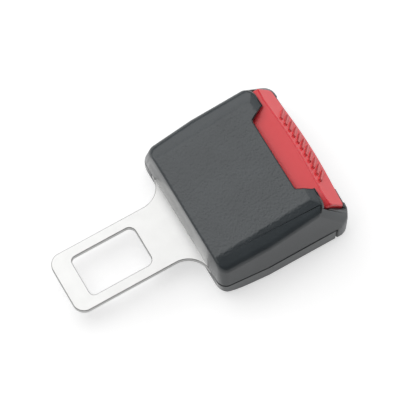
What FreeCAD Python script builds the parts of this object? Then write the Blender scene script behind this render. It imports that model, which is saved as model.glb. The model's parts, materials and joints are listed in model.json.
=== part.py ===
import FreeCAD, Part
import math
import os

from FreeCAD import Vector

os.makedirs("parts", exist_ok=True)

# Seat belt extender, in millimetres. X runs along the length: the steel tongue's tip points to -X and
# the mouth for the car's own belt tongue to +X. Y is the width, Z is up from the flat underside.

# Whole object
tongue_reach = 44.55       # tongue tip to the housing's end face
housing_length = 50.25
housing_width = 56.0
top_slope = 0.19           # rise of the top face per millimetre towards the mouth
top_height_at_end = 20.3   # top face above the underside, where it starts
seam_height = 9.0          # joint of the two shells, level with the top of the tongue

# Steel tongue
tongue_width = 22.0
tongue_thickness = 2.4
tongue_tip_radius = 4.1
window_length = 23.5
window_width = 14.9
window_setback = 6.7
window_tip_radius = 1.8
window_far_radius = 2.5
flare_radius = 8.2
tongue_root_width = 39.3   # the wide part that the housing grips
tongue_root_length = 9.8
tongue_root_corner = 1.5
hole_clearance = 0.05
rivet_radius = 2.0
rivet_head_radius = 2.9
rivet_head = 0.95
rivet_y = 6.8
rivet_offset = 0.3         # rivets behind the middle of the overlap of tongue and frame
peg_radius = 1.5           # plastic pegs of the rear cover through the tongue's root
peg_clearance = 0.15
peg_shoulder = 1.1         # of the square boss round each peg
peg_drop = 0.3             # peg's end below the tongue's top

# Housing
shell_wall = 1.6
side_draft = 10.0          # degrees
flat_width = 38.8          # flat part of the top face
facet_slope = 0.306        # fall of the facet beside the flat
shoulder_radius = 3.2
flat_narrowing = 0.4       # of the flat part, per millimetre inside the surface
end_taper_width = 53.2     # width at the seam beside the end face, before its corners
end_taper_length = 17.5    # end face to the full width
end_lean = 0.1             # lean of the end face
corner_radius = 3.0
corner_steps = 6
top_edge_radius = 0.8
mouth_corner_radius = 5.0
mouth_crown = 1.0          # bulge of the mouth end in plan
bow_rise = 4.0             # lift of the underside at the end face
bow_length = 9.8
bottom_edge_radius = 1.3
seam_gap = 0.25
lip_length = 6.65          # front shell's foot, from the mouth to the rear cover
lip_gap = 0.4
lip_height = 6.5
funnel_length = 2.5
funnel_drop = 1.6
guide_setback = 1.2        # of the guide's front behind the mouth
guide_clearance = 2.4      # latch's hook to the guide's back
guide_lead = 2.5           # length and rise of the guide's lead-in
guide_lead_rise = 1.2
guide_thickness = 2.0      # above the frame's low front
guide_half = 21.4
mouth_margin = 2.0         # mouth's side beyond the frame
skirt_gap = 0.25
joint_overlap = 0.5        # how far fused pieces of one body reach into each other
hook_rise = 4.0            # of the cover's tabs above the seam
hook_near = 12.0           # end face to the first tab
hook_far = 11.2            # second tab to the cover's other end
hook_length = 5.0
hook_sheet = 1.3
cover_rib = 1.4            # thickness of the ribs on floor and roof
cover_rib_near = 2.0       # rear rib behind the frame's walls
cover_rib_far = 5.0        # front rib behind the frame's front
bridge_rib_inner = 5.0
bridge_rib_outer = 9.0

# Release button
button_travel = 4.5
button_cheek = 4.4         # housing's side to the button's side, at the full width
button_gap = 0.3
button_wall = 1.8
bevel_lean = 0.655         # run of the bevel per millimetre of height
bevel_offset = 1.4         # button's bevel ahead of the shell's
ear_setback = 10.2         # mouth to the ends of the shell's ears, at the top face
ear_facet_length = 2.8     # facet across the end of each ear
ear_facet_slope = 0.25
bevel_foot_height = 16.0   # below it the button's front is upright
button_crown = 1.2
button_corner = 1.3
button_open_back = 1.5     # its hollow runs open under the notch's inner edge
button_open_height = 2.0   # of that opening, above the bevel's foot
button_cover = 2.6         # how far the button's top runs back under the shell
button_shoulder = 1.3
notch_setback = 15.4       # mouth to the inner edge of the button's notch in the top face
notch_inner_width = 27.2
notch_outer_width = 32.8
notch_flank = 4.9
notch_corner = 1.0
notch_depth_gap = 2.0      # notch's floor above the frame's walls

# Steel frame
frame_sheet = 2.0
frame_inner_width = 23.2
frame_setback = 7.2        # of the frame's front behind the mouth
frame_overlap = 7.8        # how far the base runs back under the tongue's root
frame_wall_top = 18.6
frame_cheek_top = 11.2     # low front part of the walls
frame_crest = 1.8          # wall's high part ahead of the lift pin's notch
frame_corner = 1.5
wall_corner = 2.0          # rear upper corner of the walls
wall_edge = 1.0            # their other rounded corners
wall_setback = 0.4         # walls behind the end of the tongue's root
belt_slot_height = 4.6
running_gap = 0.35         # between moving pieces
pin_clearance = 0.02
hole_play = 0.15
hook_play = 0.6
notch_play = 0.7
spring_stop = 1.6          # depth of the frame's stops behind the ejector's springs
spring_stop_reach = 2.8    # of a stop, from the spring's middle towards the object's middle
spring_stop_margin = 0.8   # between a stop and the wall
bridge_setback = 3.5       # bridge ahead of the pivot
bridge_length = 5.0
bridge_sheet = 1.5
bridge_corner = 1.0
bridge_tab_inset = 1.5     # of the bridge's tabs, at each end
bridge_tab_depth = 1.45
bridge_tab_play = 0.05     # below the tabs

# Latch and its pins
pivot_offset = 3.55        # end of the tongue's root to the pivot
pivot_height = 14.2
pivot_radius = 1.5
lift_angle = 10.0          # degrees that the latch rises for the full travel of the button
lift_pin_offset = 6.0      # lift pin to the hook
lift_pin_radius = 1.25
latch_sheet = 2.0
hook_setback = 14.9        # mouth to the hook
hook_half_width = 4.0
hook_depth = 0.8           # how far the hook reaches into the frame's base
hook_tip = 0.9             # flat of the hook's point
hook_slope_rise = 2.2      # height of the hook's slope above the base
hook_top_radius = 0.8
hook_edge_radius = 1.0
latch_play = 0.1           # between latch and belt slot
latch_rear = 3.2           # deck's rear edge ahead of the pivot
latch_shoulder = 2.6       # run over which the deck narrows to the hook
latch_shoulder_width = 2.2
latch_corner = 1.5
latch_notch = 6.5          # end of the deck's notch ahead of the pivot
latch_notch_half = 3.0
flange_reach = 2.4         # flanges ahead of the lift pin
flange_rise = 2.0          # above the pins' level, at their front
flange_edge = 0.6          # rise of their rear lower corner
flange_corner = 1.8
ear_radius = 2.6
ring_thickness = 0.5
ring_overhang = 1.0        # of the retaining rings beyond the pin
ring_gap = 0.15            # between frame and ring
pin_stub = 0.35            # pin beyond the ring
lift_pin_margin = 0.6      # lift pin's end inside the slide's arms

# Ejector
ejector_length = 16.4
ejector_lead = 2.5         # its front ahead of the hook
ejector_stop_gap = 0.15
ejector_web = 5.0
ejector_top_gap = 0.25     # below the top of the belt slot
ejector_rear_corner = 0.8
ejector_front_corner = 1.2
ejector_inner_corner = 1.5
ejector_nose = 1.0
ejector_foot_setback = 0.9
ejector_foot_length = 3.6
ejector_foot_half = 2.4
spring_groove = 3.4
groove_floor = 0.65        # above the frame's base
groove_margin = 5.0        # solid front of the ejector
ejector_spring_y = 8.0
rod_radius = 0.6

# Springs
ejector_wire = 0.45
button_wire = 0.5
latch_wire = 0.8
ejector_turns = 8
button_turns = 6
latch_turns = 3.5
button_coil_radius = 1.45
latch_coil_half = 1.9      # half the width of the torsion spring's coil
latch_leg_lead = 1.8       # bend of its lower leg behind the end of the deck's notch
latch_leg_reach = 2.0      # lower leg ahead of that end, and upper leg ahead of the bridge's edge
latch_leg_gap = 0.1
spring_end_gap = 0.05
coil_play = 0.25           # round the ejector's springs
coil_sides = 8             # straight runs in a turn

# Release slide
arm_inner_gap = 0.4
arm_width = 4.0
arm_bottom = 9.4
arm_tail = 8.3             # lift pin to the arm's rear end
arm_top = 16.2
arm_crest = 0.8            # rounding of the ramp's ends
slide_setback = 4.4        # slide's front behind the mouth
slide_rear_gap = 0.3       # below the lift pin, behind the ramp
ramp_gap = 0.2             # between ramp and lift pin
button_spring_y = 16.5
button_spring_rise = 1.75  # its axis above the arms' lower edge
button_peg_length = 2.2
spring_seat_depth = 2.2
spring_seat_offset = 5.5   # behind the pivot
spring_peg_radius = 0.9
slide_bar = 2.4

# Reach of the forms that cut, past the faces that they cut
past = 1.0
far_past = 30.0

# Places that follow from the sizes above
tip_x = -(tongue_reach + housing_length) / 2
mouth_x = -tip_x
end_x = tip_x + tongue_reach
tongue_top = seam_height
tongue_bottom = tongue_top - tongue_thickness
base_top = tongue_bottom
base_bottom = base_top - frame_sheet
root_end_x = end_x + tongue_root_length
ear_reach = mouth_x - ear_setback
notch_reach = mouth_x - notch_setback
button_width = housing_width - 2 * button_cheek
frame_front = mouth_x - frame_setback
pivot_x = root_end_x + pivot_offset
hook_x = mouth_x - hook_setback
ear_height = top_height_at_end + top_slope * (ear_reach - end_x)
shell_foot_height = ear_height - ear_setback / bevel_lean
lift_x = hook_x - lift_pin_offset
lift_arm = lift_x - pivot_x
frame_half = frame_inner_width / 2
frame_out = frame_half + frame_sheet
frame_back = root_end_x - frame_overlap
wall_back = root_end_x + wall_setback
slot_top = base_top + belt_slot_height
lip_x = mouth_x - lip_length
cover_end_x = lip_x - lip_gap
button_inset = shell_wall + button_gap
button_drop = button_travel * top_slope
latch_bottom = slot_top + latch_play
latch_top = latch_bottom + latch_sheet
latch_half = frame_half - running_gap
arm_inner = frame_out + arm_inner_gap
arm_outer = arm_inner + arm_width
spring_axis_z = arm_bottom + button_spring_rise
spring_stop_x = wall_back + spring_stop
ejector_front = hook_x + ejector_lead
ejector_back = ejector_front - ejector_length
ejector_travel = ejector_back - spring_stop_x - ejector_stop_gap
arm_back = lift_x - arm_tail
spring_seat_x = pivot_x - spring_seat_offset
flange_end = lift_x + flange_reach
latch_notch_x = pivot_x + latch_notch
rivet_x = (frame_back + root_end_x) / 2 - rivet_offset
peg_y = (frame_out + tongue_root_width / 2) / 2
bow_start = end_x + bow_length
bow_radius = (bow_length ** 2 + bow_rise ** 2) / (2 * bow_rise)
ring_inner = frame_out + ring_gap
pin_end = ring_inner + ring_thickness + pin_stub
bridge_near = pivot_x + bridge_setback
bridge_far = bridge_near + bridge_length
bridge_top = frame_wall_top + bridge_sheet
ejector_top = slot_top - ejector_top_gap
ejector_axis_z = base_top + groove_floor + spring_groove / 2
groove_end = ejector_front - groove_margin
foot_near = ejector_back + ejector_foot_setback
foot_far = foot_near + ejector_foot_length
guide_back = hook_x + latch_sheet + guide_clearance
guide_top = frame_cheek_top + guide_thickness
mouth_half = frame_out + mouth_margin
button_foot = guide_top + running_gap
slide_front = mouth_x - slide_setback
notch_floor = frame_wall_top + notch_depth_gap
shell_floor = seam_height + seam_gap / 2
cover_top = seam_height - seam_gap / 2


# Building helpers
def box(x0, x1, y0, y1, z0, z1):
    return Part.makeBox(x1 - x0, y1 - y0, z1 - z0, Vector(x0, y0, z0))


def both_sides(shape):
    mirrored = shape.mirror(Vector(0, 0, 0), Vector(0, 1, 0))
    return [shape, mirrored]


def rod_along_y(x, z, radius, y0, y1):
    return Part.makeCylinder(radius, y1 - y0, Vector(x, y0, z), Vector(0, 1, 0))


def rod_along_x(y, z, radius, x0, x1):
    return Part.makeCylinder(radius, x1 - x0, Vector(x0, y, z), Vector(1, 0, 0))


def rod_along_z(x, y, radius, z0, z1):
    return Part.makeCylinder(radius, z1 - z0, Vector(x, y, z0), Vector(0, 0, 1))


def in_plan(u, v):
    return Vector(u, v, 0)


def in_profile(u, v):
    return Vector(u, 0, v)


def rounded_wire(corners, place):
    # Closed outline through corners (u, v, radius), with a tangent arc at each corner that has a radius.
    entries = []
    for index, (u, v, radius) in enumerate(corners):
        here = Vector(u, v, 0)
        before = Vector(*corners[index - 1][:2], 0) - here
        after = Vector(*corners[(index + 1) % len(corners)][:2], 0) - here
        before.normalize()
        after.normalize()
        half_turn = (math.pi - before.getAngle(after)) / 2
        if radius <= 0 or half_turn < 1e-4:
            entries.append((here, None, here))
            continue
        tangent = radius * math.tan(half_turn)
        inward = before + after
        inward.normalize()
        middle = here + inward * (radius / math.cos(half_turn) - radius)
        entries.append((here + before * tangent, middle, here + after * tangent))
    edges = []
    for index, (start, middle, end) in enumerate(entries):
        spots = [place(p.x, p.y) for p in (start, middle, end) if p is not None]
        if middle is not None:
            edges.append(Part.Arc(*spots).toShape())
        following = entries[(index + 1) % len(entries)][0]
        if (following - end).Length > 1e-6:
            edges.append(Part.makeLine(spots[-1], place(following.x, following.y)))
    return Part.Wire(edges)


def plate(corners, z0, z1):
    face = Part.Face(rounded_wire(corners, in_plan))
    face.translate(Vector(0, 0, z0))
    return face.extrude(Vector(0, 0, z1 - z0))


def slab(corners, y0, y1):
    face = Part.Face(rounded_wire(corners, in_profile))
    face.translate(Vector(0, y0, 0))
    return face.extrude(Vector(0, y1 - y0, 0))


def cross_prism(corners, near, rise):
    # Prism with these corners (y, z), from near to past the mouth, where it has risen.
    spots = [Vector(near, y, z) for y, z in corners]
    return Part.Face(Part.makePolygon(spots + spots[:1])).extrude(Vector(mouth_x + past - near, 0, rise))


def fused(shapes):
    whole = shapes[0]
    if len(shapes) > 1:
        whole = shapes[0].fuse(shapes[1:])
    return whole.removeSplitter()


def square_wire(points, outward, width):
    # Bent wire of square section through the points; outward gives each point's direction of width.
    rings = []
    half = width / 2
    for index, point in enumerate(points):
        ahead = points[min(index + 1, len(points) - 1)] - points[max(index - 1, 0)]
        side = outward[index]
        side.normalize()
        up = ahead.cross(side)
        up.normalize()
        rings.append([point + side * (a * half) + up * (b * half)
                      for a, b in ((-1, -1), (1, -1), (1, 1), (-1, 1))])
    faces = [Part.Face(Part.makePolygon(rings[0] + rings[0][:1])),
             Part.Face(Part.makePolygon(rings[-1] + rings[-1][:1]))]
    for one, two in zip(rings, rings[1:]):
        for k in range(4):
            a, b, c, d = one[k], one[(k + 1) % 4], two[(k + 1) % 4], two[k]
            faces.append(Part.Face(Part.makePolygon([a, b, c, a])))
            faces.append(Part.Face(Part.makePolygon([a, c, d, a])))
    solid = Part.Solid(Part.Shell(faces))
    if solid.Volume < 0:
        solid.reverse()
    return solid


def coil_points(start, axis, first, radius, length, turns):
    # Points of a helix round the axis, and the radial direction at each.
    points, radial = [], []
    second = axis.cross(first)
    steps = int(round(turns * coil_sides))
    for step in range(steps + 1):
        angle = 2 * math.pi * step / coil_sides
        direction = first * math.cos(angle) + second * math.sin(angle)
        radial.append(direction)
        points.append(start + direction * radius + axis * (length * step / steps))
    return points, radial


# Housing form
def top_height(x):
    return top_height_at_end + top_slope * (x - end_x)


def half_width(x):
    share = min(max((x - end_x) / end_taper_length, 0), 1)
    return (end_taper_width + (housing_width - end_taper_width) * share) / 2


def quarter_drop(distance, radius):
    # How far a rounded edge of that radius lies inside its corner, at a distance from the end.
    left = min(max(radius - distance, 0), radius)
    return radius - math.sqrt(radius ** 2 - left ** 2)


def housing_section(x, inset, shoulder, corner):
    # Cross-section of the housing above the seam, in a plane that leans with the end face.
    from_end = x - end_x - inset
    draft = math.tan(math.radians(side_draft))
    lean_at_top = end_lean * (top_height(x) - seam_height)
    top_edge = min(top_edge_radius, corner)
    top = top_height(x + lean_at_top) - inset - quarter_drop(from_end, top_edge)
    low = half_width(x) - inset - quarter_drop(from_end, corner)
    flat = flat_width / 2 - inset * flat_narrowing
    rise = top - seam_height
    shoulder_y = (low - (rise + flat * facet_slope) * draft) / (1 - facet_slope * draft)
    shoulder_z = top - (shoulder_y - flat) * facet_slope

    def place(y, z):
        return Vector(x + end_lean * (z - seam_height), y, z)

    corners = [(-low, seam_height, 0), (-shoulder_y, shoulder_z, shoulder), (-flat, top, 0),
               (flat, top, 0), (shoulder_y, shoulder_z, shoulder), (low, seam_height, 0)]
    return rounded_wire(corners, place)


def corner_stations(radius):
    # Distances from the end face that follow the rounding of its corners.
    return [radius * (1 - math.cos(math.radians(90 * step / corner_steps)))
            for step in range(corner_steps + 1)]


def housing_form(far_x):
    # Solid of the whole housing above the seam, up to far_x.
    stations = [end_x + run for run in corner_stations(corner_radius)]
    stations += [end_x + end_taper_length, far_x]
    return Part.makeLoft([housing_section(x, 0, shoulder_radius, corner_radius)
                          for x in stations], True, True)


def inner_form(inset, far_x):
    # The same form drawn in by the inset, with square corners at its end.
    stations = [end_x + inset, end_x + end_taper_length, far_x]
    return Part.makeLoft([housing_section(x, inset, 0, 0) for x in stations], True, True)


def bulged_front(front, side, crown):
    # Corners of a front that bulges by the crown: two straight runs that meet in a wide arc, which
    # takes a quarter off the height of their meeting point.
    edge = front - crown
    rounding = 3 * side ** 2 / (8 * crown)
    return [(edge, -side, 0), (edge + 4 * crown / 3, 0, rounding), (edge, side, 0)]


def mouth_block(inset, rounding):
    # Everything behind the mouth end, upright below the bevel's foot and leaning back above it, between
    # the housing's drafted sides. Its front bulges by the crown.
    side = housing_width / 2 + hole_clearance - inset
    front = bulged_front(mouth_x - inset, side, mouth_crown)
    face = Part.Face(rounded_wire([(tip_x, -side, 0)] + front + [(tip_x, side, 0)], in_plan))
    face.translate(Vector(0, 0, shell_foot_height))
    height = ear_height - shell_foot_height
    upper = face.extrude(Vector(ear_reach - mouth_x, 0, height))
    lower = face.extrude(Vector(0, 0, -past - shell_foot_height))
    narrow = side - (ear_height - seam_height) * math.tan(math.radians(side_draft))
    outline = [(-side, -past), (-side, seam_height), (-narrow, ear_height), (narrow, ear_height),
               (side, seam_height), (side, -past)]
    between = cross_prism(outline, tip_x, 0)
    block = fused([upper, lower]).common(between).removeSplitter()
    return block.makeFillet(rounding, front_corner_edges(block, ear_reach - mouth_crown - past))


def floor_height(x):
    # Underside of the housing: flat, with a curved lift towards the end face.
    if x >= bow_start:
        return 0
    return bow_radius - math.sqrt(bow_radius ** 2 - (bow_start - x) ** 2)


def cover_section(x, inset, corner, bottom_edge, top):
    low = half_width(x) - inset - quarter_drop(x - end_x - inset, corner)
    floor = floor_height(x) + inset

    def place(y, z):
        return Vector(x, y, z)

    return rounded_wire([(-low, top, 0), (-low, floor, bottom_edge), (low, floor, bottom_edge),
                         (low, top, 0)], place)


def cover_form(stations, inset, corner, bottom_edge, top):
    return Part.makeLoft([cover_section(x, inset, corner, bottom_edge, top) for x in stations],
                         True, True)


# Steel pieces
def tongue_plate():
    half = tongue_width / 2
    root = tongue_root_width / 2
    outline = [(tip_x, -half, tongue_tip_radius), (end_x, -half, flare_radius), (end_x, -root, 0),
               (root_end_x, -root, tongue_root_corner), (root_end_x, root, tongue_root_corner),
               (end_x, root, 0),
               (end_x, half, flare_radius), (tip_x, half, tongue_tip_radius)]
    near = tip_x + window_setback
    far = near + window_length
    side = window_width / 2
    window = [(near, -side, window_tip_radius), (far, -side, window_far_radius),
              (far, side, window_far_radius), (near, side, window_tip_radius)]
    body = plate(outline, tongue_bottom, tongue_top)
    body = body.cut(plate(window, tongue_bottom - past, tongue_top + past))
    pegs = both_sides(rod_along_z(rivet_x, peg_y, peg_radius + peg_clearance, 0, tongue_top + past))
    return body.cut(rivet_holes() + pegs)


def rivet_holes():
    return both_sides(rod_along_z(rivet_x, rivet_y, rivet_radius + hole_clearance, 0,
                                  tongue_top + past))


def frame_rivets():
    shank = rod_along_z(rivet_x, rivet_y, rivet_radius, base_bottom, tongue_top)
    top = rod_along_z(rivet_x, rivet_y, rivet_head_radius, tongue_top, tongue_top + rivet_head)
    low = rod_along_z(rivet_x, rivet_y, rivet_head_radius, base_bottom - rivet_head, base_bottom)
    return both_sides(fused([shank, top, low]))


def frame_wall_outline():
    # Side view of one wall, with the notch in which the lift pin rises.
    top = frame_wall_top
    notch_near = lift_x - lift_pin_radius - notch_play
    notch_far = lift_x + lift_pin_radius + notch_play
    notch_low = pivot_height - lift_pin_radius - notch_play
    crest = notch_far + frame_crest
    return [(wall_back, base_bottom, 0), (frame_front, base_bottom, 0),
            (frame_front, frame_cheek_top, wall_edge), (guide_back - running_gap, frame_cheek_top, 0),
            (crest, top, wall_edge), (notch_far, top, 0), (notch_far, notch_low, 0),
            (notch_near, notch_low, 0), (notch_near, top, 0), (wall_back, top, wall_corner)]


def hook_window():
    near = hook_x - hook_play
    far = hook_x + latch_sheet + 2 * hook_play
    side = hook_half_width + hook_play
    return box(near, far, -side, side, 0, base_top + past)


def foot_window():
    side = ejector_foot_half + hole_play
    return box(foot_near - ejector_travel - running_gap, foot_far + running_gap, -side, side,
               0, base_top + past)


def bridge_tab(clearance, z0, z1):
    inset = bridge_tab_inset - clearance
    return box(bridge_near + inset, bridge_far - inset, frame_half, frame_out, z0, z1)


def buckle_frame():
    base = plate([(frame_back, -frame_out, frame_corner), (frame_front, -frame_out, 0),
                  (frame_front, frame_out, 0), (frame_back, frame_out, frame_corner)],
                 base_bottom, base_top)
    walls = both_sides(slab(frame_wall_outline(), frame_half, frame_out))
    stop = box(wall_back, spring_stop_x, ejector_spring_y - spring_stop_reach,
               frame_half - spring_stop_margin, base_top - joint_overlap, ejector_top)
    body = fused([base] + walls + both_sides(stop))
    pivot_hole = rod_along_y(pivot_x, pivot_height, pivot_radius + pin_clearance,
                             -far_past, far_past)
    rod_hole = rod_along_x(ejector_spring_y, ejector_axis_z, rod_radius + hole_clearance,
                           wall_back - past, spring_stop_x + past)
    tab_notch = bridge_tab(hole_clearance, frame_wall_top - bridge_tab_depth - bridge_tab_play,
                           frame_wall_top + past)
    return body.cut(rivet_holes() + [pivot_hole, hook_window(), foot_window()]
                    + both_sides(rod_hole) + both_sides(tab_notch))


def frame_bridge():
    cap = plate([(bridge_near, -frame_out, bridge_corner), (bridge_far, -frame_out, bridge_corner),
                 (bridge_far, frame_out, bridge_corner), (bridge_near, frame_out, bridge_corner)],
                frame_wall_top, bridge_top)
    tabs = both_sides(bridge_tab(0, frame_wall_top - bridge_tab_depth,
                                 frame_wall_top + joint_overlap))
    return fused([cap] + tabs)


def latch_deck():
    # Half of its outline, from the notch's end round to the hook, and the same mirrored.
    rear = pivot_x + latch_rear
    front = hook_x + latch_sheet
    half = [(latch_notch_x, latch_notch_half, latch_corner), (rear, latch_notch_half, 0),
            (rear, latch_half, 0), (flange_end, latch_half, 0),
            (flange_end + latch_shoulder, hook_half_width + latch_shoulder_width, latch_corner),
            (front, hook_half_width, hook_edge_radius)]
    mirrored = [(x, -y, radius) for x, y, radius in reversed(half)]
    return plate(half + mirrored, latch_bottom, latch_top)


def latch_plate():
    front = hook_x + latch_sheet
    hook_foot = base_top - hook_depth
    hook = slab([(hook_x, latch_top, 0), (hook_x, hook_foot, 0), (hook_x + hook_tip, hook_foot, 0),
                 (front, base_top + hook_slope_rise, hook_edge_radius),
                 (front, latch_top, hook_top_radius)], -hook_half_width, hook_half_width)
    flange = slab([(pivot_x - ear_radius, latch_bottom + flange_edge, ear_radius - flange_edge),
                   (flange_end, latch_bottom, 0),
                   (flange_end, pivot_height + flange_rise, flange_corner),
                   (pivot_x - ear_radius, pivot_height + ear_radius, ear_radius - flange_edge)],
                  latch_half - latch_sheet, latch_half)
    body = fused([latch_deck(), hook] + both_sides(flange))
    pivot_hole = rod_along_y(pivot_x, pivot_height, pivot_radius + hole_clearance,
                             -far_past, far_past)
    lift_hole = rod_along_y(lift_x, pivot_height, lift_pin_radius + pin_clearance,
                            -far_past, far_past)
    return body.cut([pivot_hole, lift_hole])


def latch_pivot_pin():
    return rod_along_y(pivot_x, pivot_height, pivot_radius, -pin_end, pin_end)


def retaining_rings():
    # Push-on rings that grip the plain ends of the pin.
    near, far = ring_inner, ring_inner + ring_thickness
    ring = rod_along_y(pivot_x, pivot_height, pivot_radius + ring_overhang, near, far)
    bore = rod_along_y(pivot_x, pivot_height, pivot_radius + pin_clearance, 0, far_past)
    return both_sides(ring.cut(bore))


def latch_lift_pin():
    reach = arm_outer - lift_pin_margin
    return rod_along_y(lift_x, pivot_height, lift_pin_radius, -reach, reach)


# Ejector
def ejector_slide():
    outer = frame_half - running_gap
    inner = hook_half_width + hook_play
    low = base_top + hole_play
    web_front = ejector_back + ejector_web
    side = [(web_front, inner, ejector_inner_corner), (ejector_front, inner, ejector_nose),
            (ejector_front, outer, ejector_front_corner), (ejector_back, outer, ejector_rear_corner)]
    mirrored = [(x, -y, radius) for x, y, radius in reversed(side)]
    foot = box(foot_near, foot_far, -ejector_foot_half, ejector_foot_half,
               base_bottom + running_gap, low + joint_overlap)
    body = fused([plate(side + mirrored, low, ejector_top), foot])
    half = spring_groove / 2
    groove = box(ejector_back - past, groove_end, ejector_spring_y - half, ejector_spring_y + half,
                 ejector_axis_z - half, ejector_top + past)
    return body.cut(both_sides(groove))


def ejector_guide_rods():
    far = groove_end - ejector_travel - running_gap
    return both_sides(rod_along_x(ejector_spring_y, ejector_axis_z, rod_radius, wall_back, far))


def straight_spring(y, z, x0, x1, radius, wire, turns):
    inset = wire / 2 + spring_end_gap
    points, radial = coil_points(Vector(x0 + inset, y, z), Vector(1, 0, 0), Vector(0, 1, 0),
                                 radius, x1 - x0 - 2 * inset, turns)
    return square_wire(points, radial, wire)


def ejector_spring(side):
    radius = (spring_groove - ejector_wire) / 2 - coil_play
    return straight_spring(side * ejector_spring_y, ejector_axis_z, spring_stop_x, groove_end,
                           radius, ejector_wire, ejector_turns)


def button_spring(side):
    return straight_spring(side * button_spring_y, spring_axis_z, spring_seat_x, arm_back,
                           button_coil_radius, button_wire, button_turns)


def latch_spring():
    # Torsion spring on the pivot pin: one leg on the latch, the other under the bridge.
    radius = pivot_radius + running_gap + latch_wire / 2
    centre = Vector(pivot_x, -latch_coil_half, pivot_height)
    points, radial = coil_points(centre, Vector(0, 1, 0), Vector(0, 0, -1), radius,
                                 2 * latch_coil_half, latch_turns)
    leg_z = latch_top + latch_wire / 2 + hole_clearance
    bend = Vector(latch_notch_x - latch_leg_lead, -latch_coil_half, leg_z)
    lower = Vector(latch_notch_x + latch_leg_reach, -latch_coil_half, leg_z)
    upper = Vector(bridge_near + latch_leg_reach, latch_coil_half,
                   frame_wall_top - latch_wire / 2 - latch_leg_gap)
    points = [lower, bend] + points + [upper]
    radial = [Vector(0, 0, -1), Vector(0, 0, -1)] + radial + [Vector(0, 0, 1)]
    return square_wire(points, radial, latch_wire)


# Release slide and button
def ramp_line():
    # Line that the lift pin's underside follows in the slide, over the whole travel.
    angle = math.radians(lift_angle)
    rise = lift_arm * math.sin(angle)
    run = button_travel - lift_arm * (1 - math.cos(angle))
    length = math.hypot(rise, run)
    away = lift_pin_radius + ramp_gap
    x = lift_x + away * rise / length
    z = pivot_height - away * run / length
    return x, z, rise / run


def release_slide():
    x, z, slope = ramp_line()
    rear_top = pivot_height - lift_pin_radius - slide_rear_gap
    foot = x - (z - rear_top) / slope
    crest = x + (arm_top - z) / slope
    arm = slab([(arm_back, arm_bottom, 0), (slide_front, arm_bottom, 0),
                (slide_front, arm_top, 0), (crest, arm_top, arm_crest), (foot, rear_top, arm_crest),
                (arm_back, rear_top, 0)], arm_inner, arm_outer)
    arm = arm.cut(box(guide_back - button_travel - past, slide_front + past, 0, far_past,
                      0, button_foot))
    peg = rod_along_x(button_spring_y, spring_axis_z, spring_peg_radius,
                      arm_back - button_peg_length, arm_back + joint_overlap)
    cross = box(slide_front - slide_bar, slide_front, -arm_outer, arm_outer, button_foot, arm_top)
    return fused([cross] + both_sides(arm) + both_sides(peg))


def button_line(z):
    # Front of the button's bevel at the height z.
    return ear_reach + bevel_offset + bevel_lean * (top_height(ear_reach) - z)


def button_outline(inset, front):
    # Plan of the button: its front bulges by the crown.
    wide = button_width / 2 - inset
    back = notch_reach - button_cover
    corners = bulged_front(front - inset, wide, button_crown)
    return Part.Face(rounded_wire([(back, -wide, 0)] + corners + [(back, wide, 0)], in_plan))


def button_block(inset):
    face = button_outline(inset, button_line(bevel_foot_height))
    face.translate(Vector(0, 0, bevel_foot_height))
    height = top_height(mouth_x) - bevel_foot_height
    upper = face.extrude(Vector(-bevel_lean * height, 0, height))
    lower = face.extrude(Vector(0, 0, button_foot - bevel_foot_height))
    return fused([upper, lower])


def button_form(inset, edge_radius):
    # Room for the button below the top face and between the housing's sides, drawn in by the inset.
    near = end_x + end_taper_length
    top = top_height(near) - inset - button_drop
    high = top_height(mouth_x + past)
    flat = flat_width / 2 - inset * flat_narrowing
    wide = housing_width / 2
    eaves = top - (wide - flat) * facet_slope
    roof = cross_prism([(-wide, 0), (-wide, eaves), (-flat, top), (flat, top), (wide, eaves), (wide, 0)],
                       near, high - top_height(near))
    low = wide - inset
    narrow = low - (high - seam_height) * math.tan(math.radians(side_draft))
    sides = cross_prism([(-low, seam_height), (-narrow, high), (narrow, high), (low, seam_height)],
                        near, 0)
    form = roof.common(sides)
    if edge_radius > 0:
        form = form.makeFillet(edge_radius, shoulder_edges(form, flat))
    return form


def shoulder_edges(form, flat):
    chosen = []
    for edge in form.Edges:
        span = edge.BoundBox
        outside = min(abs(span.YMin), abs(span.YMax)) > flat + hole_clearance
        if outside and span.XLength > past and span.ZMin > seam_height + past:
            chosen.append(edge)
    return chosen


def front_corner_edges(shape, near):
    # Upright or leaning edges at both ends of a front, ahead of near.
    chosen = []
    for edge in shape.Edges:
        span = edge.BoundBox
        aside = min(abs(span.YMin), abs(span.YMax)) > mouth_half
        if aside and span.XMin > near and span.ZLength > past and span.YLength < 2 * mouth_corner_radius:
            chosen.append(edge)
    return chosen


def release_button():
    block = button_block(0)
    block = block.makeFillet(button_corner, front_corner_edges(block, ear_reach))
    body = block.common(button_form(button_inset, button_shoulder))
    hollow = button_block(button_wall).common(button_form(button_inset + button_wall, 0))
    side = button_width / 2 - button_wall
    open_back = box(0, notch_reach + button_open_back, -side, side,
                    0, bevel_foot_height + button_open_height)
    return body.cut(hollow.fuse(open_back))


# Guide above the belt slot
def tongue_guide():
    front = mouth_x - guide_setback
    near = lip_x + running_gap
    skirt_near = frame_out + skirt_gap
    deck = slab([(guide_back, slot_top, 0), (front - guide_lead, slot_top, 0),
                 (front, slot_top + guide_lead_rise, 0), (front, guide_top, 0),
                 (guide_back, guide_top, 0)], -guide_half, guide_half)
    skirt = box(near, front, skirt_near, skirt_near + shell_wall, lip_height,
                slot_top + joint_overlap)
    wing = box(near, front, skirt_near, guide_half, slot_top, guide_top)
    return fused([deck] + both_sides(skirt) + both_sides(wing))


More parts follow.
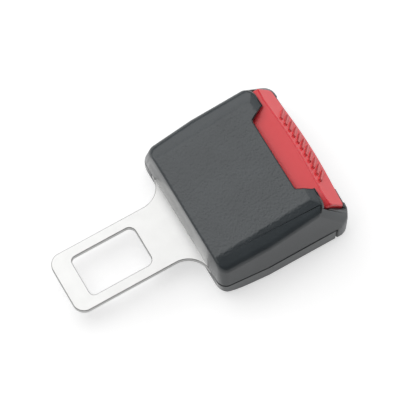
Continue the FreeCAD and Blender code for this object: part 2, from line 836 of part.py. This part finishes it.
# Plastic shells
def front_shell():
    side = housing_width / 2
    near = lip_x - past
    outside = mouth_x + past
    whole = housing_form(mouth_x + 2 * past)
    whole = whole.cut(box(tip_x, outside + past, -side - past, side + past, 0, shell_floor))
    foot = box(lip_x, mouth_x, -side, side, 0, shell_floor)
    foot = foot.makeFillet(bottom_edge_radius, lengthwise_edges(foot, 0))
    whole = whole.fuse(foot).common(mouth_block(0, mouth_corner_radius)).cut(ear_facet())

    room = inner_form(shell_wall, mouth_x + 3 * past)
    inner_end = mouth_block(shell_wall, mouth_corner_radius - shell_wall)
    button_side = button_width / 2 + button_gap
    open_room = room.common(box(notch_reach - button_cover, outside, -button_side, button_side,
                                guide_top + hole_clearance, top_height(outside)))
    mouth = box(near, outside, -mouth_half, mouth_half, lip_height, guide_top)
    ledge_half = guide_half + hole_clearance
    ledge = box(near, outside, -ledge_half, ledge_half, slot_top, guide_top + hole_clearance)
    pocket = box(near, mouth_x, mouth_half + shell_wall, side - shell_wall, shell_wall,
                 shell_floor + past).common(inner_end)
    under = box(near, mouth_x, -mouth_half, mouth_half, shell_wall,
                lip_height - shell_wall).common(inner_end)
    steep = funnel_drop / funnel_length
    funnel = slab([(outside, lip_height - funnel_drop - steep * past, 0),
                   (outside, lip_height + past, 0),
                   (mouth_x - funnel_length, lip_height + past, 0),
                   (mouth_x - funnel_length, lip_height, 0)], -mouth_half, mouth_half)
    body = whole.cut([room.common(inner_end), open_room, mouth, ledge, under, funnel]
                     + both_sides(pocket))
    body = body.cut(notch_cutter())
    return fused([body] + both_sides(spring_seat()) + both_sides(bridge_rib()))


def ear_facet():
    # Wedge that takes the facet across the ends of the ears off the top face.
    start = ear_reach - ear_facet_length
    end = mouth_x + past
    side = housing_width / 2 + past
    high = ear_height + past
    return slab([(start, top_height(start), 0),
                 (end, top_height(start) - ear_facet_slope * (end - start), 0),
                 (end, high, 0), (start, high, 0)], -side, side)


def spring_seat():
    half = button_coil_radius + button_wire + running_gap
    return box(spring_seat_x - spring_seat_depth, spring_seat_x, button_spring_y - half,
               button_spring_y + half, tongue_top + hole_play,
               top_height(spring_seat_x) - shell_wall / 2)


def bridge_rib():
    # Rib under the roof that holds the frame's bridge down.
    near = bridge_near + bridge_corner
    return box(near, near + cover_rib, bridge_rib_inner, bridge_rib_outer, bridge_top,
               top_height(near) - shell_wall / 2)


def notch_cutter():
    inner = notch_inner_width / 2
    outer = notch_outer_width / 2
    far = notch_reach + notch_flank
    end = mouth_x + past
    outline = [(notch_reach, -inner, notch_corner), (far, -outer, notch_corner), (end, -outer, 0),
               (end, outer, 0), (far, outer, notch_corner), (notch_reach, inner, notch_corner)]
    return plate(outline, notch_floor, top_height(end))


def lengthwise_edges(shape, z):
    low = []
    for edge in shape.Edges:
        span = edge.BoundBox
        if max(abs(span.ZMin - z), abs(span.ZMax - z), span.YLength) < 1e-6:
            low.append(edge)
    return low


def rear_cover():
    bow_stations = [end_x + corner_radius + (bow_length - corner_radius) * share
                    for share in (1 / 3, 2 / 3, 1)]
    stations = [end_x + run for run in corner_stations(corner_radius)] + bow_stations
    stations += [end_x + end_taper_length, cover_end_x]
    outer = cover_form(stations, 0, corner_radius, bottom_edge_radius, cover_top)
    inner_stations = [end_x + shell_wall] + bow_stations + [end_x + end_taper_length,
                                                            cover_end_x - shell_wall]
    room = cover_form(inner_stations, shell_wall, 0, 0, cover_top + past)
    root_half = tongue_root_width / 2 + hole_play
    tongue_gate = box(end_x - past, end_x + shell_wall + past, -root_half, root_half,
                      tongue_bottom - hole_play, cover_top + past)
    frame_side = frame_out + hole_play
    frame_gate = box(cover_end_x - shell_wall - past, cover_end_x + past, -frame_side, frame_side,
                     base_bottom - hole_clearance, cover_top + past)
    pieces = [outer.cut([room, tongue_gate, frame_gate])]
    for x in (wall_back + cover_rib_near, frame_front - cover_rib_far):
        pieces.append(box(x, x + cover_rib, -frame_half, frame_half, shell_wall / 2, base_bottom))
    boss_half = peg_radius + peg_shoulder
    floor = floor_height(rivet_x - boss_half) + shell_wall / 2
    boss = box(rivet_x - boss_half, rivet_x + boss_half, peg_y - boss_half, peg_y + boss_half,
               floor, tongue_bottom)
    peg = rod_along_z(rivet_x, peg_y, peg_radius, floor, tongue_top - peg_drop)
    pieces += both_sides(boss.fuse(peg))
    for x in (end_x + hook_near, cover_end_x - hook_far):
        pieces += both_sides(snap_hook(x))
    return fused(pieces)


def snap_hook(x):
    # Upright tab that keeps the side wall of the front shell in line.
    draft = math.tan(math.radians(side_draft))
    outer = half_width(x) - shell_wall - seam_gap - hook_rise * draft
    return box(x, x + hook_length, outer - hook_sheet, outer, shell_wall / 2, seam_height + hook_rise)


# Write every piece
def save(name, shapes):
    solids = shapes if isinstance(shapes, list) else [shapes]
    flat = [s for shape in solids for s in shape.Solids]
    body = flat[0] if len(flat) == 1 else Part.makeCompound(flat)
    body.exportStep("parts/" + name + ".step")
    print(name, len(flat), "solids", round(body.Volume, 1), "mm3", body.isValid())


save("tongue_plate", tongue_plate())
save("buckle_frame", buckle_frame())
save("frame_bridge", frame_bridge())
save("frame_rivets", frame_rivets())
save("latch_plate", latch_plate())
save("latch_pivot_pin", latch_pivot_pin())
save("pin_retaining_rings", retaining_rings())
save("latch_lift_pin", latch_lift_pin())
save("latch_spring", latch_spring())
save("ejector_slide", ejector_slide())
save("ejector_guide_rods", ejector_guide_rods())
save("ejector_spring_left", ejector_spring(1))
save("ejector_spring_right", ejector_spring(-1))
save("release_button", release_button())
save("release_slide", release_slide())
save("button_spring_left", button_spring(1))
save("button_spring_right", button_spring(-1))
save("tongue_guide", tongue_guide())
save("front_shell", front_shell())
save("rear_cover", rear_cover())
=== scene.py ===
import bpy
import json
import math
from mathutils import Matrix, Vector
from mathutils.bvhtree import BVHTree
from mathutils.geometry import intersect_point_line

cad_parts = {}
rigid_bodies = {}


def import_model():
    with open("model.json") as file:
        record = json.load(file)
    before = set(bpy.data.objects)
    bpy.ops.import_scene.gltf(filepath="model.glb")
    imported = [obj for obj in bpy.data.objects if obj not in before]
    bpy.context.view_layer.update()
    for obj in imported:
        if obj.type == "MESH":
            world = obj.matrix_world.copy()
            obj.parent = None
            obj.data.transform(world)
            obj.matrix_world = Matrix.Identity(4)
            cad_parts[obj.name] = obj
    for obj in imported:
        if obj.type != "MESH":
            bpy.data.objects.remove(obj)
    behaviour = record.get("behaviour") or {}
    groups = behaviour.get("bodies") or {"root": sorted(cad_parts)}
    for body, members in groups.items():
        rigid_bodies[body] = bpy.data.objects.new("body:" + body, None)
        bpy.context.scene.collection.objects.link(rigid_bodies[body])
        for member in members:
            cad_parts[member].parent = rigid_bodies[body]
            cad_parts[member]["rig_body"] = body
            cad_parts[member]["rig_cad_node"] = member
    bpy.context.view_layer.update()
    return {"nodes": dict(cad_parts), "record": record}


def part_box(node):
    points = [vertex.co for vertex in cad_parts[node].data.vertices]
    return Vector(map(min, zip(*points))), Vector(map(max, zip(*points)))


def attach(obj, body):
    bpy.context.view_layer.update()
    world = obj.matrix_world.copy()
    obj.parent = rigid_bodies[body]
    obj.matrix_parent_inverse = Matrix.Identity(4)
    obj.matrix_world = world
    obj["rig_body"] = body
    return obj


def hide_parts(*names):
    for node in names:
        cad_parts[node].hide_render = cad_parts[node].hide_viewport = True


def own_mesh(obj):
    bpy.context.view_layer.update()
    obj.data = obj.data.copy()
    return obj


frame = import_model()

# Seat belt extender. X runs from the steel tongue to the mouth, Y across, Z up.
# The dictionaries give millimetres and degrees. Only the floor's size and the lamps are in metres.
mm = 0.001
print("frame loaded", len(frame["nodes"]), "nodes")


def pickNone():
    bpy.ops.object.select_all(action="DESELECT")


def pickOnly(piece):
    pickNone()
    piece.select_set(True)
    bpy.context.view_layer.objects.active = piece


# Colours and nodes
def linearColour(hexText):
    # sRGB hex to the linear values that the shader takes
    parts = [int(hexText[i:i + 2], 16) / 255 for i in (1, 3, 5)]
    return [p / 12.92 if p <= 0.04045 else ((p + 0.055) / 1.055) ** 2.4 for p in parts] + [1.0]


def addNode(tree, kind, settings=None, links=None):
    # A setting is a property of the node where it has one of that name, and else one of its inputs
    node = tree.nodes.new("ShaderNode" + kind)
    for name, value in (settings or {}).items():
        if isinstance(name, str) and hasattr(node, name):
            setattr(node, name, value)
        else:
            node.inputs[name].default_value = value
    for name, (source, output) in (links or {}).items():
        tree.links.new(source.outputs[output], node.inputs[name])
    return node


def newMaterial(name, shaderSettings):
    material = bpy.data.materials.new(name)
    material.use_nodes = True
    tree = material.node_tree
    tree.nodes.clear()
    shader = addNode(tree, "BsdfPrincipled", shaderSettings)
    addNode(tree, "OutputMaterial", links={"Surface": (shader, "BSDF")})
    return material, tree, shader


def scaledPlace(tree, places, sizes):
    # Object coordinates divided by a pattern's size along each axis
    stretch = [1 / (size * mm) for size in sizes]
    return addNode(tree, "Mapping", {"Scale": stretch}, {"Vector": (places, "Object")})


# Octaves of the noise in each pattern, and the strength of its relief
octaves = {"tone": 4.0, "pores": 3.0, "peel": 2.0, "cloud": 5.0, "lines": 3.0}
relief = {"pores": 0.8, "peel": 0.6, "lines": 0.5}
plasticSpan = (0.3, 0.75)
metalSpan = (0.3, 0.7)


def addNoise(tree, places, pattern, sizes):
    return addNode(tree, "TexNoise", {"Scale": 1.0, "Detail": octaves[pattern]},
                   {"Vector": (scaledPlace(tree, places, sizes), "Vector")})


def tintByNoise(tree, shader, noise, spec, span):
    # The colour up to the span's low end of the noise, and the paler one from its high end on
    ramp = addNode(tree, "ValToRGB", links={"Fac": (noise, "Fac")})
    for element, place, key in zip(ramp.color_ramp.elements, span, ("colour", "paler")):
        element.position = place
        element.color = linearColour(spec[key])
    tree.links.new(ramp.outputs["Color"], shader.inputs["Base Color"])


def roughenBy(tree, shader, source, output, low, high):
    rough = addNode(tree, "MapRange", {"To Min": low, "To Max": high}, {"Value": (source, output)})
    tree.links.new(rough.outputs[0], shader.inputs["Roughness"])


def raiseByNoise(tree, shader, noise, pattern, height):
    bump = addNode(tree, "Bump", {"Distance": height * mm, "Strength": relief[pattern]},
                   {"Height": (noise, "Fac")})
    tree.links.new(bump.outputs["Normal"], shader.inputs["Normal"])
    return bump


# Moulded ABS of the housing: spark-eroded leather grain on the top, finer and smoother on the sides.
# The top is a plane that has the height topStart at topStartX and climbs by topRise.
shell = {
    "colour": "#30373b", "paler": "#394044", "span": (0.35, 0.75), "tone": 9.0,
    "ior": 1.56, "specular": 0.62, "topRough": 0.38, "sideRough": 0.28,
    "grainSize": 0.8, "grainBlend": 0.6, "grainHeight": 0.08, "poreSize": 0.3, "poreHeight": 0.03,
    "topRise": 0.19, "topStart": 20.3, "topStartX": -2.85,
    "grainEnds": -0.75, "grainFull": -0.15, "sideGrain": 0.12,
    "endGloss": 1.2, "endGlossRough": 0.16,
}


def makeShellPlastic():
    material, tree, shader = newMaterial("Moulded ABS, leather grain", {
        "IOR": shell["ior"], "Specular IOR Level": shell["specular"],
        "Coat Roughness": shell["endGlossRough"]})
    places = addNode(tree, "TexCoord")
    axes = addNode(tree, "SeparateXYZ", links={"Vector": (places, "Object")})
    # Height over the plane of the top, which is negative on the facets and the sides
    plane = addNode(tree, "Math", {"operation": "MULTIPLY_ADD", 1: -shell["topRise"] / mm,
                                   2: -shell["topStart"] + shell["topRise"] * shell["topStartX"]},
                    {0: (axes, "X")})
    height = addNode(tree, "Math", {"operation": "MULTIPLY_ADD", 1: 1 / mm},
                     {0: (axes, "Z"), 2: (plane, 0)})
    onTop = addNode(tree, "MapRange", {"From Min": shell["grainEnds"], "From Max": shell["grainFull"]},
                    {"Value": (height, 0)})
    grain = addNode(tree, "TexVoronoi",
                    {"feature": "SMOOTH_F1", "Smoothness": shell["grainBlend"], "Scale": 1.0},
                    {"Vector": (scaledPlace(tree, places, [shell["grainSize"]] * 3), "Vector")})
    pores = addNoise(tree, places, "pores", [shell["poreSize"]] * 3)
    tone = addNoise(tree, places, "tone", [shell["tone"]] * 3)
    tintByNoise(tree, shader, tone, shell, shell["span"])
    roughenBy(tree, shader, onTop, 0, shell["sideRough"], shell["topRough"])
    # The end face over the tongue is polished
    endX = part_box("front_shell")[0].x
    gloss = addNode(tree, "MapRange", {"From Min": endX + shell["endGloss"] * mm, "From Max": endX,
                                       "To Min": 0.0, "To Max": 1.0}, {"Value": (axes, "X")})
    tree.links.new(gloss.outputs[0], shader.inputs["Coat Weight"])
    strength = addNode(tree, "MapRange", {"To Min": shell["sideGrain"], "To Max": 1.0},
                       {"Value": (onTop, 0)})
    coarse = addNode(tree, "Bump", {"Distance": shell["grainHeight"] * mm},
                     {"Height": (grain, "Distance"), "Strength": (strength, 0)})
    fine = raiseByNoise(tree, shader, pores, "pores", shell["poreHeight"])
    tree.links.new(coarse.outputs["Normal"], fine.inputs["Normal"])
    return material


# Plain moulded plastics: a tone that drifts a little and the faint orange peel of a polished mould
def makePlainPlastic(name, spec):
    material, tree, shader = newMaterial(name, {"IOR": spec["ior"]})
    places = addNode(tree, "TexCoord")
    tone = addNoise(tree, places, "tone", [spec["tone"]] * 3)
    tintByNoise(tree, shader, tone, spec, plasticSpan)
    roughenBy(tree, shader, tone, "Fac", *spec["rough"])
    peel = addNoise(tree, places, "peel", [spec["peel"]] * 3)
    raiseByNoise(tree, shader, peel, "peel", spec["peelHeight"])
    return material


# Metals: fine drawn or rolled lines, and spots where the plating is duller
def makeMetal(name, spec):
    material, tree, shader = newMaterial(name, {"Metallic": 1.0})
    places = addNode(tree, "TexCoord")
    cloud = addNoise(tree, places, "cloud", [spec["cloud"]] * 3)
    tintByNoise(tree, shader, cloud, spec, metalSpan)
    lines = addNoise(tree, places, "lines", spec["lines"])
    roughenBy(tree, shader, lines, "Fac", *spec["rough"])
    raiseByNoise(tree, shader, lines, "lines", spec["lineHeight"])
    return material


redAbs = {"colour": "#f33a42", "paler": "#f6424a", "tone": 7.0, "rough": (0.3, 0.42), "ior": 1.53,
          "peel": 0.5, "peelHeight": 0.006}
whiteAcetal = {"colour": "#dcdad2", "paler": "#e8e6df", "tone": 5.0, "rough": (0.35, 0.5), "ior": 1.48,
               "peel": 0.4, "peelHeight": 0.006}
blackAcetal = {"colour": "#1d1f21", "paler": "#26282b", "tone": 5.0, "rough": (0.35, 0.5), "ior": 1.48,
               "peel": 0.4, "peelHeight": 0.006}
nickelPlate = {"colour": "#cbcbca", "paler": "#d0d0cf", "cloud": 6.0, "rough": (0.3, 0.36),
               "lines": (9.0, 0.12, 0.12), "lineHeight": 0.0004}
zincPlate = {"colour": "#b3b6ba", "paler": "#c6c9cd", "cloud": 3.0, "rough": (0.28, 0.42),
             "lines": (6.0, 0.15, 0.15), "lineHeight": 0.003}
springWire = {"colour": "#8b8d91", "paler": "#a1a3a7", "cloud": 2.0, "rough": (0.2, 0.34),
              "lines": (0.1, 0.1, 0.1), "lineHeight": 0.002}

# Rounded edges, painted darker than the faces beside them as painted shade along the edges; the red one
# is also glossier and the steel one duller
shellEdge = {"colour": "#1a1f21", "paler": "#202527", "tone": 4.0, "rough": (0.3, 0.4), "ior": 1.5,
             "peel": 0.5, "peelHeight": 0.004}
redEdge = {"colour": "#e62a36", "paler": "#ea333f", "tone": 4.0, "rough": (0.2, 0.3), "ior": 1.53,
           "peel": 0.5, "peelHeight": 0.004}
steelEdgeShade = {"colour": "#8a8a89", "paler": "#9a9a99", "cloud": 2.0, "rough": (0.3, 0.45),
               "lines": (0.2, 0.2, 1.0), "lineHeight": 0.002}

# The button's grip: rib tops painted paler as a highlight and matt, their rounded edges painted darker
# as shade
ribHighlightRed = {"colour": "#e25a5c", "paler": "#e66a69", "tone": 2.0, "rough": (0.35, 0.5), "ior": 1.53,
             "peel": 0.4, "peelHeight": 0.006}
ribShadeRed = {"colour": "#b01c28", "paler": "#bb232f", "tone": 2.0, "rough": (0.4, 0.5), "ior": 1.53,
             "peel": 0.4, "peelHeight": 0.006}

guidePlastic = makePlainPlastic("Acetal, black", blackAcetal)
finishes = {
    "shell_plastic": makeShellPlastic(),
    "button_plastic": makePlainPlastic("Moulded ABS, red satin", redAbs),
    "inner_plastic": makePlainPlastic("Acetal, natural white", whiteAcetal),
    "guide_plastic": guidePlastic,
    "tongue_steel": makeMetal("Steel, nickel plated and polished", nickelPlate),
    "frame_steel": makeMetal("Steel, zinc plated", zincPlate),
    "spring_steel": makeMetal("Spring steel wire", springWire),
}
# The edge roundings' colours, painted darker as shade along the edges
edgeShadePaints = {
    "shell_plastic": makePlainPlastic("Moulded ABS, painted shade on rounded edges", shellEdge),
    "button_plastic": makePlainPlastic("Moulded ABS, red, painted shade on rounded edges", redEdge),
    "tongue_steel": makeMetal("Steel, painted shade on rounded edges", steelEdgeShade),
    "guide_plastic": guidePlastic,
}
# Painted highlight on the rib tops, and painted shade on the ribs' rounded edges
ribTopHighlight = makePlainPlastic("Moulded ABS, red, painted highlight on rib tops", ribHighlightRed)
ribEdgeShade = makePlainPlastic("Moulded ABS, red, painted shade on rib edges", ribShadeRed)
nodeSlots = {part["node"]: part["material_slot"] for part in frame["record"]["subparts"]}


def dress(piece, material):
    piece.data.materials.clear()
    piece.data.materials.append(material)


for nodeName, node in frame["nodes"].items():
    dress(node, finishes[nodeSlots[nodeName]])
print("materials made")


# Copies of solids: each rides and is dressed as its solid, and stands for it
def copyNode(nodeName, copyName):
    source = frame["nodes"][nodeName]
    piece = source.copy()
    piece.data = source.data.copy()
    piece.parent = None
    piece.name = copyName
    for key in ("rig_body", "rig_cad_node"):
        if key in piece:
            del piece[key]
    bpy.context.scene.collection.objects.link(piece)
    bodies = frame["record"]["behaviour"]["bodies"]
    body = next(name for name, members in bodies.items() if nodeName in members)
    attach(piece, body)
    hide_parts(nodeName)
    return piece


def pressSpring(held):
    spring = copyNode(held["node"], "coiled_" + held["node"])
    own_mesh(spring)


for joint in frame["record"]["behaviour"]["joints"]:
    for held in joint.get("deforming_nodes", []):
        pressSpring(held)


# Moulded and stamped edges: a merged copy of the solid gets small rounded edges and stands for it.
# Edges past the angle are rounded, and from the flatter angle on where two broad faces meet.
edgeWork = {
    "front_shell": {"width": 0.45, "angle": 34, "flatAngle": 12},
    "rear_cover": {"width": 0.45, "angle": 34, "flatAngle": 12},
    "release_button": {"width": 0.45, "angle": 30, "flatAngle": 12},
    "tongue_plate": {"width": 0.2, "angle": 60, "flatAngle": 60},
    "tongue_guide": {"width": 0.2, "angle": 50, "flatAngle": 30},
}
rounding = {"segments": 3, "mergeDistance": 0.03, "flatWithin": 0.4, "broadFace": 1.5, "sliver": 0.02,
            "viewStart": 0.1, "strayDistance": 0.25, "broadFaceWeight": 90}


def faceTree(nodeNames):
    # The faces of some solids in one tree, which finds the nearest face or the first in the way
    places, faces = [], []
    for nodeName in nodeNames:
        mesh = frame["nodes"][nodeName].data
        first = len(places)
        places.extend(vertex.co for vertex in mesh.vertices)
        faces.extend([first + i for i in face.vertices] for face in mesh.polygons)
    return BVHTree.FromPolygons(places, faces)


def faceWidth(mesh, face):
    corners = [mesh.vertices[i].co for i in face.vertices]
    longest = max((corners[i] - corners[i - 1]).length for i in range(len(corners)))
    return face.area / longest


def weighEdges(mesh, work, solids):
    # Marks the edges to round. Edges that a solid covers stay sharp, and so do those of slivers.
    # Returns the ends of the flat folds and of the sharper corners.
    widths = [faceWidth(mesh, face) for face in mesh.polygons]
    meeting = {}
    for face in mesh.polygons:
        for key in face.edge_keys:
            meeting.setdefault(key, []).append(face.index)
    weights = mesh.attributes.new("bevel_weight_edge", "FLOAT", "EDGE")
    folds, corners = [], []
    for edge in mesh.edges:
        pair = meeting.get(edge.key, [])
        if len(pair) != 2:
            continue
        first, second = [mesh.polygons[i].normal for i in pair]
        bend = math.degrees(first.angle(second, 0))
        narrower = min(widths[i] for i in pair)
        needed = work["flatAngle"] if narrower > rounding["broadFace"] * mm else work["angle"]
        if narrower < rounding["sliver"] * mm or bend < needed:
            continue
        ends = [mesh.vertices[i].co.copy() for i in edge.vertices]
        middle = (ends[0] + ends[1]) / 2
        outward = (first + second).normalized()
        if solids.ray_cast(middle + outward * rounding["viewStart"] * mm, outward)[0] is None:
            weights.data[edge.index].value = 1.0
            (folds if bend < work["angle"] else corners).append(ends)
    return folds, corners


def nearestEdge(place, edges):
    nearest = math.inf
    for start, end in edges:
        along = intersect_point_line(place, start, end)[1]
        foot = start.lerp(end, min(max(along, 0), 1))
        nearest = min(nearest, (place - foot).length)
    return nearest


def plainFolds(mesh, folds, corners):
    # The rounding of a flat fold keeps the surface of the faces beside it
    for face in mesh.polygons:
        if face.material_index == 1:
            if nearestEdge(face.center, folds) < nearestEdge(face.center, corners):
                face.material_index = 0


def settleOnSolid(piece, nodeName):
    # A corner that the rounding threw off goes back to the solid, and none leaves the solid's box
    solid = faceTree([nodeName])
    low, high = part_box(nodeName)
    for vertex in piece.data.vertices:
        nearest, _, _, distance = solid.find_nearest(vertex.co)
        if distance > rounding["strayDistance"] * mm:
            vertex.co = nearest
        vertex.co = [min(max(vertex.co[i], low[i]), high[i]) for i in range(3)]


def softenEdges(nodeName, work, solids):
    piece = copyNode(nodeName, "soft_" + nodeName)
    pickOnly(piece)
    bpy.ops.object.mode_set(mode="EDIT")
    bpy.ops.mesh.select_all(action="SELECT")
    bpy.ops.mesh.remove_doubles(threshold=rounding["mergeDistance"] * mm)
    bpy.ops.mesh.dissolve_limited(angle_limit=math.radians(rounding["flatWithin"]))
    bpy.ops.object.mode_set(mode="OBJECT")
    folds, corners = weighEdges(piece.data, work, solids)
    # The rounded corners take the edge colour, painted darker as shade along the edges
    piece.data.materials.append(edgeShadePaints[nodeSlots[nodeName]])
    bpy.ops.object.shade_smooth()
    bevel = piece.modifiers.new("edges", "BEVEL")
    bevel.width = work["width"] * mm
    bevel.segments = rounding["segments"]
    bevel.limit_method = "WEIGHT"
    bevel.material = 1
    bevel.use_clamp_overlap = False
    normals = piece.modifiers.new("normals", "WEIGHTED_NORMAL")
    normals.weight = rounding["broadFaceWeight"]
    bpy.ops.object.modifier_apply(modifier="edges")
    plainFolds(piece.data, folds, corners)
    settleOnSolid(piece, nodeName)
    bpy.ops.object.modifier_apply(modifier="normals")


allSolids = faceTree(frame["nodes"])
for nodeName, work in edgeWork.items():
    softenEdges(nodeName, work, allSolids)
print("edges softened")

# Grip on the button's bevel: a row of slanted ribs, moulded in one with the button.
# The bevel falls back by lean for each millimetre of height, and by crown at the button's sides.
ribs = {"count": 11, "pitch": 2.5, "width": 1.1, "length": 7.4, "proud": 0.62, "sunk": 0.35,
        "slant": 32, "middleHeight": 20.8, "footHeight": 16.0, "lean": 0.655, "crown": 1.6,
        "edge": 0.2, "segments": 3, "smoothBelow": 40}


def makeRib(y):
    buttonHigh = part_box("release_button")[1]
    front = buttonHigh.x / mm - ribs["lean"] * (ribs["middleHeight"] - ribs["footHeight"])
    front -= ribs["crown"] * (y / (buttonHigh.y / mm)) ** 2
    pickNone()
    bpy.ops.mesh.primitive_cube_add(size=1)
    rib = bpy.context.object
    rib.scale = (ribs["width"] * mm, ribs["length"] * mm, (ribs["proud"] + ribs["sunk"]) * mm)
    bpy.ops.object.transform_apply(location=False, rotation=False, scale=True)
    # The rib's faces are painted paler as a highlight, and its rounded edges take the darker red of
    # painted shade
    dress(rib, ribTopHighlight)
    rib.data.materials.append(ribEdgeShade)
    edges = rib.modifiers.new("edges", "BEVEL")
    edges.material = 1
    edges.width = ribs["edge"] * mm
    edges.segments = ribs["segments"]
    bpy.ops.object.modifier_apply(modifier="edges")
    bpy.ops.object.shade_smooth_by_angle(angle=math.radians(ribs["smoothBelow"]))
    outward = Vector((1, 0, ribs["lean"])).normalized()
    across = Vector((0, 1, 0))
    upSlope = outward.cross(across)
    turned = Matrix((across, upSlope, outward)).transposed().to_4x4()
    slant = Matrix.Rotation(math.radians(ribs["slant"]), 4, "Z")
    place = Vector((front * mm, y * mm, ribs["middleHeight"] * mm))
    place += outward * (ribs["proud"] - ribs["sunk"]) / 2 * mm
    rib.data.transform(Matrix.Translation(place) @ turned @ slant)
    return rib


made = [makeRib((i - (ribs["count"] - 1) / 2) * ribs["pitch"]) for i in range(ribs["count"])]
pickNone()
for rib in made:
    rib.select_set(True)
bpy.context.view_layer.objects.active = made[0]
bpy.ops.object.join()
gripRibs = bpy.context.object
gripRibs.name = "grip_ribs"
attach(gripRibs, "button")
print("grip ribs made")

# Floor: white to the camera, and less bright where the object mirrors it
floor = {"size": 2.4, "drop": 0.02, "colour": "#dcdcdc", "rough": 0.9, "specular": 0.1,
         "glow": 0.57, "glossyGlow": 0.32}
pickNone()
bpy.ops.mesh.primitive_plane_add(size=floor["size"])
ground = bpy.context.object
ground.name = "studioFloor"
ground.data.transform(Matrix.Translation((0, 0, -floor["drop"] * mm)))
groundPaint, groundTree, groundShader = newMaterial("Matte white board", {
    "Base Color": linearColour(floor["colour"]), "Roughness": floor["rough"],
    "Specular IOR Level": floor["specular"], "Emission Color": linearColour("#ffffff")})
rays = addNode(groundTree, "LightPath")
mirrored = addNode(groundTree, "Math", {"operation": "MULTIPLY", 1: floor["glossyGlow"]},
                   {0: (rays, "Is Glossy Ray")})
glow = addNode(groundTree, "Math", {"operation": "MULTIPLY_ADD", 1: floor["glow"]},
               {0: (rays, "Is Camera Ray"), 2: (mirrored, 0)})
groundTree.links.new(glow.outputs[0], groundShader.inputs["Emission Strength"])
dress(ground, groundPaint)

# Light: a surrounding glow and two square lamps, in metres and watts. The glow is white up to the
# horizon. Above it is dark ahead, on the camera's side, grey behind the object and darker farther back.
studio = {
    "horizon": 0.85, "ahead": 0.14, "behind": 0.55, "fartherShare": 0.2,
    "horizonSpan": (0.05, 0.15), "behindSpan": (-0.3, 0.15), "fartherSpan": (0.45, 0.8),
    "softbox": {"place": (-0.2, 0.55, 0.86), "size": 1.2, "power": 6.2},
    "fill": {"place": (0.84, 0.04, 0.33), "size": 0.6, "power": 2.0},
}
world = bpy.data.worlds.new("studio")
bpy.context.scene.world = world
world.use_nodes = True
sky = world.node_tree
sky.nodes.clear()
aim = addNode(sky, "TexCoord")
aimAxes = addNode(sky, "SeparateXYZ", links={"Vector": (aim, "Generated")})


def gradeSky(axis, span, low, high):
    return addNode(sky, "MapRange", {"From Min": span[0], "From Max": span[1],
                                     "To Min": low, "To Max": high}, {"Value": (aimAxes, axis)})


horizon = gradeSky("Z", studio["horizonSpan"], studio["horizon"], 0.0)
above = gradeSky("Y", studio["behindSpan"], studio["ahead"], studio["behind"])
farther = gradeSky("Y", studio["fartherSpan"], 1.0, studio["fartherShare"])
shaded = addNode(sky, "Math", {"operation": "MULTIPLY"}, {0: (above, 0), 1: (farther, 0)})
glowAround = addNode(sky, "Math", {"operation": "MAXIMUM"}, {0: (horizon, 0), 1: (shaded, 0)})
back = addNode(sky, "Background", {"Color": linearColour("#ffffff")}, {"Strength": (glowAround, 0)})
addNode(sky, "OutputWorld", links={"Surface": (back, "Background")})


def addLamp(name, spec):
    lampData = bpy.data.lights.new(name, "AREA")
    lampData.shape = "SQUARE"
    lampData.size = spec["size"]
    lampData.energy = spec["power"]
    lamp = bpy.data.objects.new(name, lampData)
    bpy.context.scene.collection.objects.link(lamp)
    lamp.location = spec["place"]
    lamp.rotation_euler = (-Vector(spec["place"])).to_track_quat("-Z", "Y").to_euler()


for lampName in ("softbox", "fill"):
    addLamp(lampName, studio[lampName])

# Camera, recovered from the edges of the tongue and the housing in the photograph
shot = {"azimuth": -30.03, "elevation": 70.42, "distance": 780.9, "target": (6.55, 3.81, 9.0),
        "lens": 212.3, "sensor": 36}
turn, lift = math.radians(shot["azimuth"]), math.radians(shot["elevation"])
towards = Vector((math.sin(turn) * math.cos(lift), -math.cos(turn) * math.cos(lift), math.sin(lift)))
cameraData = bpy.data.cameras.new("camera")
cameraData.lens = shot["lens"]
cameraData.sensor_width = shot["sensor"]
camera = bpy.data.objects.new("camera", cameraData)
bpy.context.scene.collection.objects.link(camera)
camera.location = Vector(shot["target"]) * mm + towards * shot["distance"] * mm
camera.rotation_mode = "QUATERNION"
camera.rotation_quaternion = (-towards).to_track_quat("-Z", "Y")
bpy.context.scene.camera = camera
bpy.context.scene.view_settings.view_transform = "Standard"
print("studio ready")
